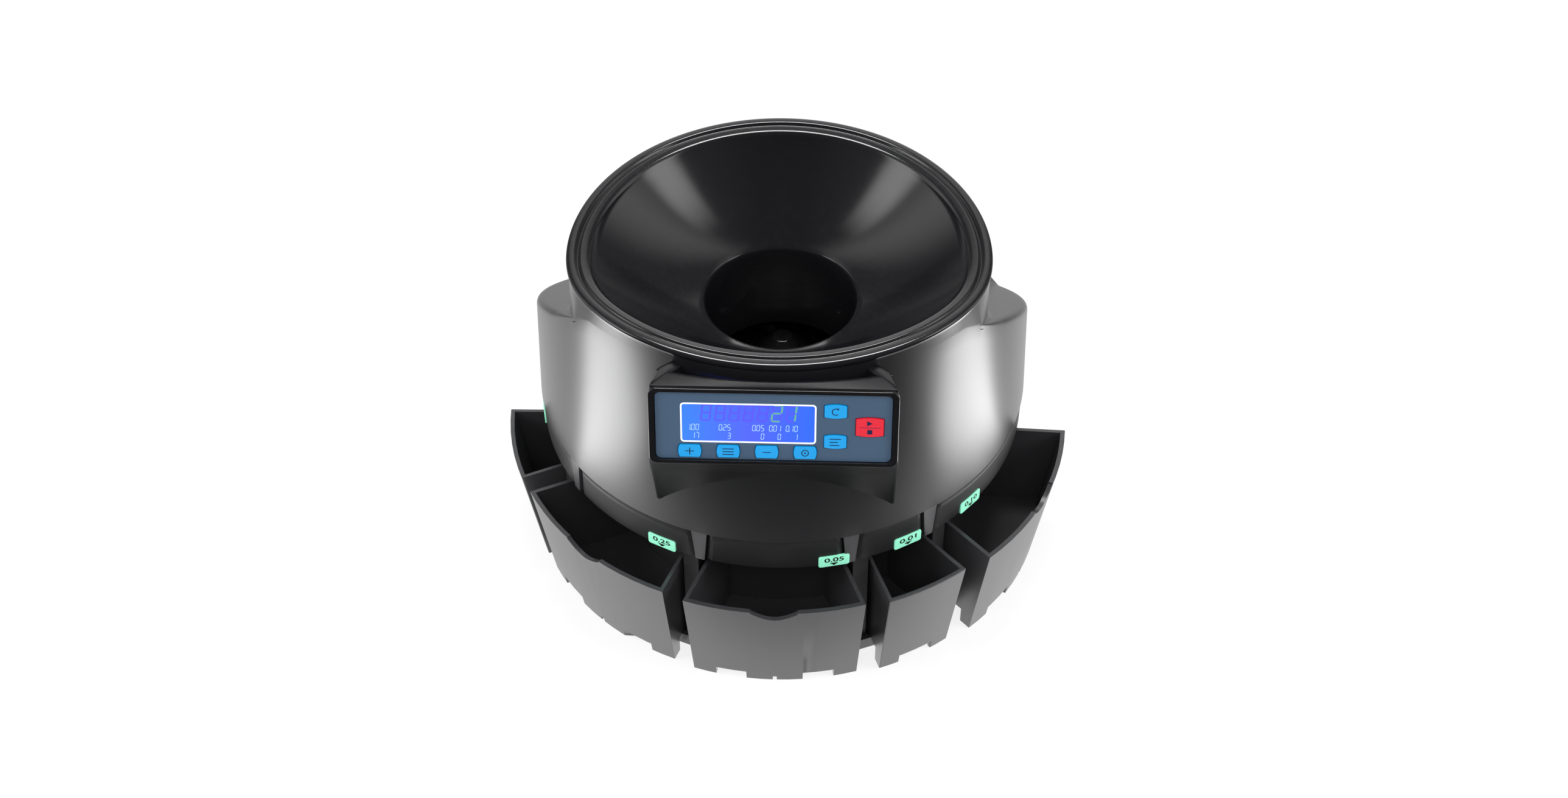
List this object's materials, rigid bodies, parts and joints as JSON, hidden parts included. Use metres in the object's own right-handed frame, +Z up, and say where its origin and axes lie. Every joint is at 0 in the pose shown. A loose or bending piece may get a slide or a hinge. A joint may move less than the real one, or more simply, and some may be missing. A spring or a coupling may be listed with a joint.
{
  "type": "coin counter",
  "caption": "Round desktop coin counter and sorter with an open hopper on top, a tilted display with keys on the front and radial coin drawers below.",
  "frame": {"origin": "centre of the outline on the table plane, at the bottom of the feet", "axes": "+Z up, front with the display towards -Y, +X to the right seen from the front"},
  "size_m": [0.3686, 0.3344, 0.2659],
  "materials": {
    "charcoal": "glossy charcoal moulded plastic",
    "satin_grey": "satin grey moulded plastic",
    "gloss_black": "high gloss black plastic",
    "black": "satin black plastic",
    "rubber": "matt black rubber",
    "steel": "plain steel",
    "board": "green circuit board",
    "copper": "laminated iron core with a copper winding",
    "overlay": "satin blue-grey sheet",
    "key_blue": "satin bright blue",
    "key_red": "satin red",
    "lcd": "lit blue display window"
  },
  "bodies": {
    "frame": {"base_tray": "charcoal", "coin_chute_1": "black", "coin_chute_2": "black", "coin_chute_3": "black", "coin_chute_4": "black", "coin_chute_5": "black", "control_board": "board", "count_sensor": "black", "display_bezel": "gloss_black", "display_board": "board", "display_housing": "gloss_black", "drawer_bay": "black", "foot_1": "rubber", "foot_2": "rubber", "foot_3": "rubber", "foot_4": "rubber", "gearbox": "black", "hopper_bowl": "gloss_black", "keypad_overlay": "overlay", "lcd_module": "lcd", "main_housing": "charcoal", "mechanism_deck": "black", "motor": "steel", "outlet_panels": "black", "power_board": "board", "power_inlet": "black", "shaft_bearing": "steel", "sorting_ring": "steel", "switch_frame": "black", "transformer": "copper"},
    "spinner": {"sorting_disc": "steel", "disc_hub": "gloss_black", "drive_shaft": "steel"},
    "drawer_1": {"drawer_1": "satin_grey"},
    "drawer_2": {"drawer_2": "satin_grey"},
    "drawer_3": {"drawer_3": "satin_grey"},
    "drawer_4": {"drawer_4": "satin_grey"},
    "drawer_5": {"drawer_5": "satin_grey"},
    "key_plus": {"key_plus": "key_blue"},
    "key_batch": {"key_batch": "key_blue"},
    "key_minus": {"key_minus": "key_blue"},
    "key_set": {"key_set": "key_blue"},
    "key_clear": {"key_clear": "key_blue"},
    "key_report": {"key_report": "key_blue"},
    "key_start_stop": {"key_start_stop": "key_red"},
    "power_rocker": {"power_rocker": "black"}
  },
  "joints": [
    {"name": "disc_spin", "type": "hinge", "parent": "frame", "child": "spinner", "pos_m": [-0.00305, 0.01467, 0.1245], "axis": [0, 0, 1], "continuous": true},
    {"name": "drawer_1_slide", "type": "slide", "parent": "frame", "child": "drawer_1", "axis": [-0.9736, -0.2284, 0], "range_m": [-0.004, 0.06]},
    {"name": "drawer_2_slide", "type": "slide", "parent": "frame", "child": "drawer_2", "axis": [-0.6724, -0.7402, 0], "range_m": [-0.0032, 0.06]},
    {"name": "drawer_3_slide", "type": "slide", "parent": "frame", "child": "drawer_3", "axis": [0, -1, 0], "range_m": [-0.005, 0.06]},
    {"name": "drawer_4_slide", "type": "slide", "parent": "frame", "child": "drawer_4", "axis": [0.515, -0.8572, 0], "range_m": [-0.0076, 0.06]},
    {"name": "drawer_5_slide", "type": "slide", "parent": "frame", "child": "drawer_5", "axis": [0.903, -0.4297, 0], "range_m": [-0.0115, 0.06]},
    {"name": "key_plus_press", "type": "slide", "parent": "frame", "child": "key_plus", "axis": [0, 0.9677, -0.2521], "range_m": [0, 0.0008], "stiffness_N_per_m": 600},
    {"name": "key_batch_press", "type": "slide", "parent": "frame", "child": "key_batch", "axis": [0, 0.9677, -0.2521], "range_m": [0, 0.0008], "stiffness_N_per_m": 600},
    {"name": "key_minus_press", "type": "slide", "parent": "frame", "child": "key_minus", "axis": [0, 0.9677, -0.2521], "range_m": [0, 0.0008], "stiffness_N_per_m": 600},
    {"name": "key_set_press", "type": "slide", "parent": "frame", "child": "key_set", "axis": [0, 0.9677, -0.2521], "range_m": [0, 0.0008], "stiffness_N_per_m": 600},
    {"name": "key_clear_press", "type": "slide", "parent": "frame", "child": "key_clear", "axis": [0, 0.9677, -0.2521], "range_m": [0, 0.0008], "stiffness_N_per_m": 600},
    {"name": "key_report_press", "type": "slide", "parent": "frame", "child": "key_report", "axis": [0, 0.9677, -0.2521], "range_m": [0, 0.0008], "stiffness_N_per_m": 600},
    {"name": "key_start_stop_press", "type": "slide", "parent": "frame", "child": "key_start_stop", "axis": [0, 0.9677, -0.2521], "range_m": [0, 0.0008], "stiffness_N_per_m": 600},
    {"name": "rocker_tilt", "type": "hinge", "parent": "frame", "child": "power_rocker", "pos_m": [0.01595, 0.16291, 0.04], "axis": [1, 0, 0], "range_deg": [0, 12]}
  ]
}
